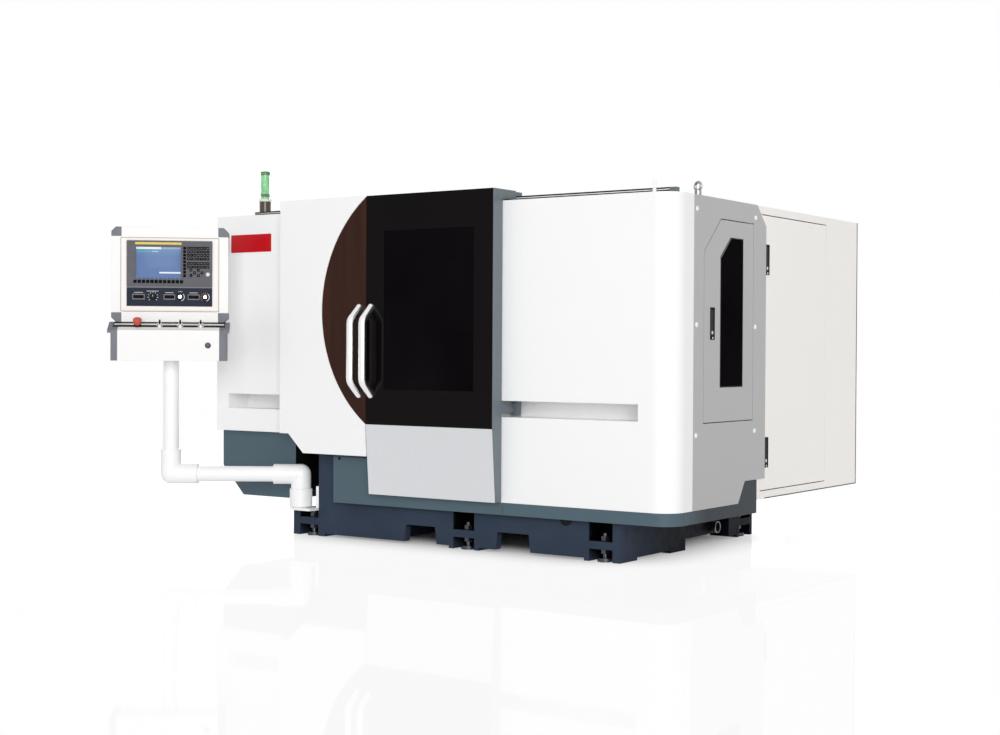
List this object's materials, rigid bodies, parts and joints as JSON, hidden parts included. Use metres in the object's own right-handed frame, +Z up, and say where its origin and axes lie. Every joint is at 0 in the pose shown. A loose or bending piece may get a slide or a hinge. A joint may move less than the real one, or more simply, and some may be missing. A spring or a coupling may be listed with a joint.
{
  "type": "cylindrical grinder",
  "caption": "CNC cylindrical grinding machine with sliding front doors, a control pendant on a swing arm, an electrical cabinet, and the work table, wheelhead and drives inside.",
  "frame": {"origin": "middle of the machine's footprint, on the floor", "axes": "+X to the machine's right seen from its front, +Y to its back, +Z up"},
  "size_m": [2.807, 2.6008, 1.84],
  "materials": {
    "cover_white": "semi-gloss white powder coat",
    "side_grey": "light grey powder coat",
    "cabinet_white": "off-white powder coat",
    "skirt_teal": "dark teal grey powder coat",
    "bed_navy": "dark blue enamel on cast iron",
    "door_black": "gloss black coat",
    "dark_glass": "dark tinted safety glass",
    "inlay_brown": "gloss dark brown panel",
    "stainless": "brushed stainless sheet",
    "chrome": "polished",
    "carrier_grey": "dark grey coat",
    "black_plastic": "black plastic",
    "pipe_white": "white coat on aluminium",
    "pendant_white": "white powder coat",
    "trim_grey": "mid grey plastic",
    "unit_grey": "dark grey keyboard frame",
    "panel_navy": "dark blue membrane panel",
    "screen_glass": "lit display",
    "stop_red": "red plastic",
    "lens_green": "clear green lens",
    "lamp_brown": "bronze brown",
    "machine_steel": "ground steel",
    "casting_grey": "light grey enamel on cast iron",
    "zinc": "zinc plated",
    "guard_white": "light grey coat",
    "abrasive": "bonded abrasive",
    "motor_black": "black enamel",
    "drive_grey": "grey drive housings on a plate"
  },
  "bodies": {
    "machine": {"bed": "bed_navy", "levelling_feet": "zinc", "lower_skirts": "skirt_teal", "left_cover": "cover_white", "right_cover": "cover_white", "right_side_panel": "side_grey", "roof_panel": "cover_white", "rear_cover": "cabinet_white", "door_rails": "carrier_grey", "eye_bolt": "zinc", "cabinet_shell": "cabinet_white", "cabinet_drives": "drive_grey", "door_hinges": "zinc", "arm_bracket": "pipe_white", "lamp_base": "lamp_brown", "lamp_lens": "lens_green", "guideways": "machine_steel", "axis_servos": "motor_black"},
    "left_door": {"left_door_panel": "cover_white", "left_door_inlay": "inlay_brown", "left_door_handle": "chrome", "left_door_carrier": "carrier_grey"},
    "right_door": {"right_door_panel": "door_black", "right_door_window": "dark_glass", "kick_plate": "stainless", "right_door_handle": "chrome", "right_door_carrier": "carrier_grey"},
    "service_door": {"side_door": "side_grey", "side_window": "dark_glass", "side_latch_body": "black_plastic"},
    "service_latch": {"side_latch_lever": "black_plastic"},
    "cabinet_leaf": {"cabinet_door": "cabinet_white", "cabinet_latch_bodies": "black_plastic"},
    "lower_latch": {"lower_latch_lever": "black_plastic"},
    "upper_latch": {"upper_latch_lever": "black_plastic"},
    "arm": {"swing_arm": "pipe_white"},
    "pendant": {"pendant_box": "pendant_white", "pendant_trims": "trim_grey", "unit_plate": "unit_grey", "screen": "screen_glass", "key_pad": "black_plastic", "operator_panel": "panel_navy"},
    "mode_dial": {"mode_knob": "black_plastic"},
    "speed_dial": {"speed_knob": "black_plastic"},
    "feed_dial": {"feed_knob": "black_plastic"},
    "stop_button": {"emergency_stop": "stop_red"},
    "left_switch": {"left_selector": "black_plastic"},
    "middle_switch": {"middle_selector": "black_plastic"},
    "right_switch": {"right_selector": "black_plastic"},
    "table": {"work_table": "casting_grey", "workhead": "casting_grey", "tailstock": "casting_grey"},
    "headstock_spindle": {"work_spindle": "machine_steel"},
    "tailstock_quill": {"quill": "machine_steel"},
    "wheel_slide": {"wheelhead": "casting_grey", "wheel_guard": "guard_white", "wheel_motor": "motor_black"},
    "wheel": {"grinding_wheel": "abrasive"},
    "table_feed": {"table_screw": "machine_steel"},
    "infeed_feed": {"infeed_screw": "machine_steel"}
  },
  "joints": [
    {"name": "left_door_slide", "type": "slide", "parent": "machine", "child": "left_door", "axis": [-1, 0, 0], "range_m": [0, 0.33]},
    {"name": "right_door_slide", "type": "slide", "parent": "machine", "child": "right_door", "axis": [1, 0, 0], "range_m": [0, 0.6]},
    {"name": "service_door_hinge", "type": "hinge", "parent": "machine", "child": "service_door", "pos_m": [1.38777, 0.0724, 0.596], "axis": [0, 0, 1], "range_deg": [0, 100]},
    {"name": "service_latch_pivot", "type": "hinge", "parent": "service_door", "child": "service_latch", "pos_m": [1.39528, -0.3076, 1.076], "axis": [0, -1, 0], "range_deg": [0, 50]},
    {"name": "cabinet_door_hinge", "type": "hinge", "parent": "machine", "child": "cabinet_leaf", "pos_m": [1.38278, 0.89041, 0.271], "axis": [0, 0, 1], "range_deg": [0, 110]},
    {"name": "lower_latch_pivot", "type": "hinge", "parent": "cabinet_leaf", "child": "lower_latch", "pos_m": [1.39027, 0.24141, 0.5], "axis": [0, -1, 0], "range_deg": [0, 50]},
    {"name": "upper_latch_pivot", "type": "hinge", "parent": "cabinet_leaf", "child": "upper_latch", "pos_m": [1.39027, 0.24141, 1.375], "axis": [0, -1, 0], "range_deg": [0, 50]},
    {"name": "arm_swing", "type": "hinge", "parent": "machine", "child": "arm", "pos_m": [-0.63572, -0.6376, 0.228], "axis": [0, 0, 1], "range_deg": [0, 75]},
    {"name": "pendant_swivel", "type": "hinge", "parent": "arm", "child": "pendant", "pos_m": [-1.14933, -0.99723, 0.84], "axis": [0, 0, 1], "range_deg": [-60, 2]},
    {"name": "mode_turn", "type": "hinge", "parent": "pendant", "child": "mode_dial", "pos_m": [-1.17756, -1.08992, 1.1455], "axis": [0.6691, -0.7431, 0], "range_deg": [-150, 150]},
    {"name": "speed_turn", "type": "hinge", "parent": "pendant", "child": "speed_dial", "pos_m": [-1.08244, -1.00427, 1.1455], "axis": [0.6691, -0.7431, 0], "range_deg": [-150, 150]},
    {"name": "feed_turn", "type": "hinge", "parent": "pendant", "child": "feed_dial", "pos_m": [-0.99474, -0.92532, 1.1455], "axis": [0.6691, -0.7431, 0], "range_deg": [-150, 150]},
    {"name": "stop_push", "type": "slide", "parent": "pendant", "child": "stop_button", "axis": [-0.2485, 0.276, -0.9285], "range_m": [0, 0.005], "stiffness_N_per_m": 600, "springref_m": -0.003},
    {"name": "left_switch_turn", "type": "hinge", "parent": "pendant", "child": "left_switch", "pos_m": [-1.11735, -1.10299, 1.005], "axis": [0.2485, -0.276, 0.9285], "range_deg": [-45, 45]},
    {"name": "middle_switch_turn", "type": "hinge", "parent": "pendant", "child": "middle_switch", "pos_m": [-1.04601, -1.03875, 1.005], "axis": [0.2485, -0.276, 0.9285], "range_deg": [-45, 45]},
    {"name": "right_switch_turn", "type": "hinge", "parent": "pendant", "child": "right_switch", "pos_m": [-0.97466, -0.97452, 1.005], "axis": [0.2485, -0.276, 0.9285], "range_deg": [-45, 45]},
    {"name": "table_traverse", "type": "slide", "parent": "machine", "child": "table", "axis": [1, 0, 0], "range_m": [-0.2, 0.2]},
    {"name": "work_spindle_turn", "type": "hinge", "parent": "table", "child": "headstock_spindle", "pos_m": [-0.29123, -0.35459, 0.966], "axis": [1, 0, 0], "continuous": true},
    {"name": "quill_draw", "type": "slide", "parent": "table", "child": "tailstock_quill", "axis": [1, 0, 0], "range_m": [0, 0.03]},
    {"name": "wheel_infeed", "type": "slide", "parent": "machine", "child": "wheel_slide", "axis": [0, 1, 0], "range_m": [-0.1, 0.06]},
    {"name": "wheel_turn", "type": "hinge", "parent": "wheel_slide", "child": "wheel", "pos_m": [0.06878, -0.01709, 0.966], "axis": [1, 0, 0], "continuous": true},
    {"name": "table_screw_turn", "type": "hinge", "parent": "machine", "child": "table_feed", "pos_m": [0.06878, -0.35459, 0.636], "axis": [1, 0, 0], "range_deg": [-7300, 7300]},
    {"name": "infeed_screw_turn", "type": "hinge", "parent": "machine", "child": "infeed_feed", "pos_m": [0.38777, 0.6204, 0.636], "axis": [0, 1, 0], "range_deg": [-3700, 3700]}
  ],
  "couplings": [
    {"joint": "table_screw_turn", "follows": "table_traverse", "rad_per_m": 628.32},
    {"joint": "infeed_screw_turn", "follows": "wheel_infeed", "rad_per_m": 628.32}
  ]
}
